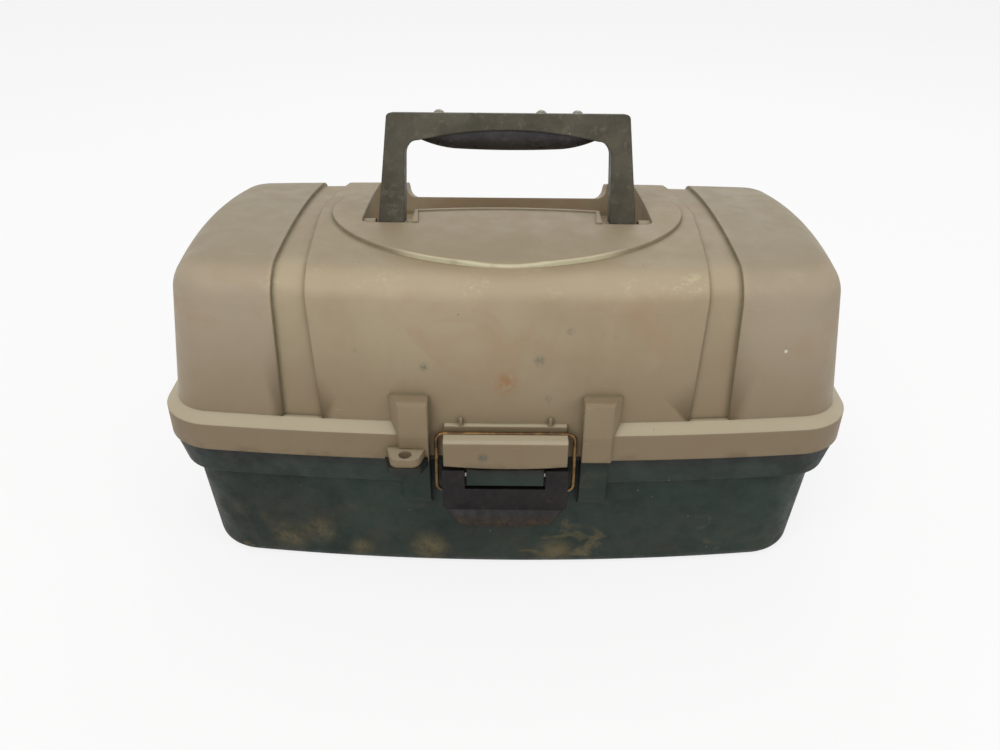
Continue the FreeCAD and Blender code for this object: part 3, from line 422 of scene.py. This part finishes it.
def plain_steel(name, light, dark, spotted):
    """Drawn or pressed steel, with fine lines along X and dull brown spots."""
    s = Surface(name, metallic=0.85)
    line = s.noise(0.35, 3, 0.6, at=s.stretched(0.05, 1, 1))
    s.ground(light, dark, line, 0.35, 0.65)
    spot = s.between(s.noise(3.5, 5, 0.75), 0.56, 0.68)
    s.tint(rgb(96, 76, 56), spot, spotted)
    rough = s.maths("ADD", s.uneven(6, 0.28, 0.46), s.times(spot, 0.2))
    return s.finish(rough, bumps=((line, 0.03),))


def tray_plastic():
    """The trays: plain greyish tan moulding, marked where hooks and weights have lain."""
    s = Surface("tray_grey_plastic", specular=0.4)
    s.ground(rgb(158, 150, 132), rgb(170, 163, 146), s.noise(50, 4), 0.35, 0.65)
    tray_floor = s.between(s.upward(), 0.6, 0.95)
    stain = s.between(s.noise(11, 5, 0.7, warp=0.5), 0.5, 0.68)
    s.tint(rgb(128, 108, 82), stain, tray_floor, 0.5)
    scratch = s.between(s.noise(1.2, 2, 0.5, at=s.stretched(0.1, 1, 1), warp=0.5), 0.68, 0.75)
    s.tint(rgb(190, 184, 168), scratch, 0.4)
    # painted shade in corners and grooves
    s.tint(rgb(110, 100, 80), s.nooks(5), 0.4)
    return s.finish(s.uneven(12, 0.4, 0.6), soften=0.7, bumps=((s.noise(0.8, 4), 0.06),))


finishes = {
    "base_green": green_plastic(),
    "lid_tan": tan_plastic(),
    "handle_olive": handle_plastic(),
    "grip_black": grip_rubber(),
    "screw_steel": plain_steel("screw_steel", rgb(150, 147, 138), rgb(118, 114, 104), 0.7),
    "latch_brown": latch_paint(),
    "wire_brass": wire_brass(),
    "pin_steel": plain_steel("pin_steel", rgb(176, 174, 168), rgb(140, 137, 130), 0.4),
    "tray_grey": tray_plastic(),
    "arm_steel": plain_steel("arm_steel", rgb(184, 184, 180), rgb(150, 150, 147), 0.25),
}

for part in frame["record"]["subparts"]:
    node = frame["nodes"][part["node"]]
    node.data.materials.clear()
    node.data.materials.append(finishes[part["material_slot"]])


# floor, world, lamps and camera

def white_to_eye(tree):
    """1 for what the camera, glossy and clear pieces see, 0 for the light on the object."""
    path = tree.nodes.new("ShaderNodeLightPath")
    share = path.outputs["Is Camera Ray"]
    for name in ("Is Glossy Ray", "Is Transmission Ray"):
        wider = tree.nodes.new("ShaderNodeMath")
        wider.operation = "MAXIMUM"
        tree.links.new(share, wider.inputs[0])
        tree.links.new(path.outputs[name], wider.inputs[1])
        share = wider.outputs[0]
    return share


def scaled(tree, share, low, high):
    """A share from 0 to 1, turned into low to high."""
    node = tree.nodes.new("ShaderNodeMapRange")
    tree.links.new(share, node.inputs["Value"])
    node.inputs["To Min"].default_value = low
    node.inputs["To Max"].default_value = high
    return node.outputs["Result"]


def pale_floor():
    """Catches the object's shadow; for the rest it looks nearly white."""
    material = bpy.data.materials.new("pale_floor")
    material.use_nodes = True
    tree = material.node_tree
    shader = tree.nodes["Principled BSDF"]
    shader.inputs["Base Color"].default_value = FLOOR_COLOUR
    shader.inputs["Roughness"].default_value = FLOOR_ROUGHNESS
    glow = tree.nodes.new("ShaderNodeEmission")
    glow.inputs["Color"].default_value = WHITE
    glow.inputs["Strength"].default_value = 1.0
    veil = tree.nodes.new("ShaderNodeMixShader")
    whitened = scaled(tree, white_to_eye(tree), 0.0, FLOOR_WHITENED)
    tree.links.new(whitened, veil.inputs["Fac"])
    tree.links.new(shader.outputs["BSDF"], veil.inputs[1])
    tree.links.new(glow.outputs["Emission"], veil.inputs[2])
    tree.links.new(veil.outputs["Shader"], tree.nodes["Material Output"].inputs["Surface"])
    return material


def lamp(name, place, width, power):
    """A round lamp that is turned to the object."""
    data = bpy.data.lights.new(name, "AREA")
    data.shape = "DISK"
    data.size = width
    data.energy = power
    light = bpy.data.objects.new(name, data)
    light.location = place
    aim = Vector(LAMP_AIM) - Vector(place)
    light.rotation_euler = aim.to_track_quat("-Z", "Y").to_euler()
    bpy.context.scene.collection.objects.link(light)


bpy.ops.mesh.primitive_plane_add(size=FLOOR_SIZE, location=(0, 0, cad_box[0].z))
floor = bpy.context.object
floor.name = "studio_floor"
floor.data.materials.append(pale_floor())

world = bpy.data.worlds.new("studio")
bpy.context.scene.world = world
world.use_nodes = True
sky = world.node_tree.nodes["Background"]
sky.inputs["Color"].default_value = WHITE
world_strength = scaled(world.node_tree, white_to_eye(world.node_tree), WORLD_LIGHT, WORLD_SEEN)
world.node_tree.links.new(world_strength, sky.inputs["Strength"])

for name, place, width, power in LAMPS:
    lamp(name, place, width, power)

camera_data = bpy.data.cameras.new("photo_camera")
camera_data.sensor_width = SENSOR_WIDTH
camera_data.lens = SENSOR_WIDTH * LENS_TO_SENSOR
camera = bpy.data.objects.new("photo_camera", camera_data)
camera.location = tuple(c * MM for c in CAMERA_PLACE)
pitch = Euler((math.pi / 2 - math.radians(CAMERA_TILT), 0, 0)).to_matrix()
roll = Euler((0, 0, math.radians(CAMERA_ROLL))).to_matrix()
camera.rotation_euler = (pitch @ roll).to_euler()
bpy.context.scene.collection.objects.link(camera)
bpy.context.scene.camera = camera
bpy.context.scene.view_settings.view_transform = "Standard"
